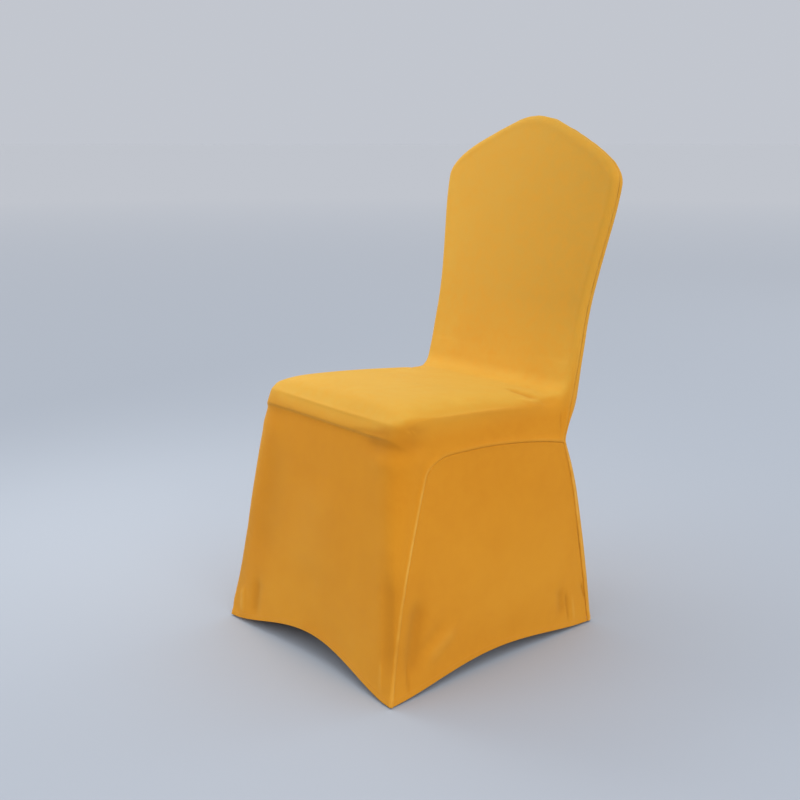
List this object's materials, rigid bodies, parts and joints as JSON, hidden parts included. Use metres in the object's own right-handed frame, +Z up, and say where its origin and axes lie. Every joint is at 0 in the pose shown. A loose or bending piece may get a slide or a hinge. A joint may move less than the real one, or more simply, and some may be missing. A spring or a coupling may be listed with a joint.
{
  "type": "fitted stretch chair cover",
  "caption": "Fitted stretch cloth cover for a banquet chair, with a crowned back, snug seat, splayed skirt with arched hems and foot pockets.",
  "frame": {"origin": "on the floor, under the middle of the cover's bounding box", "axes": "+Z up along the height, the cover's front faces -Y, +X is the right side seen from the front"},
  "size_m": [0.505, 0.5752, 0.9536],
  "materials": {
    "front_panel": "matt satin stretch knit",
    "back_panel": "matt satin stretch knit",
    "side_panel_right": "matt satin stretch knit",
    "side_panel_left": "matt satin stretch knit",
    "foot_pocket_front_right": "matt satin stretch knit",
    "foot_pocket_front_left": "matt satin stretch knit",
    "foot_pocket_rear_right": "matt satin stretch knit",
    "foot_pocket_rear_left": "matt satin stretch knit"
  },
  "bodies": {
    "root": {"front_panel": "front_panel", "back_panel": "back_panel", "side_panel_right": "side_panel_right", "side_panel_left": "side_panel_left", "foot_pocket_front_right": "foot_pocket_front_right", "foot_pocket_front_left": "foot_pocket_front_left", "foot_pocket_rear_right": "foot_pocket_rear_right", "foot_pocket_rear_left": "foot_pocket_rear_left"}
  },
  "joints": []
}
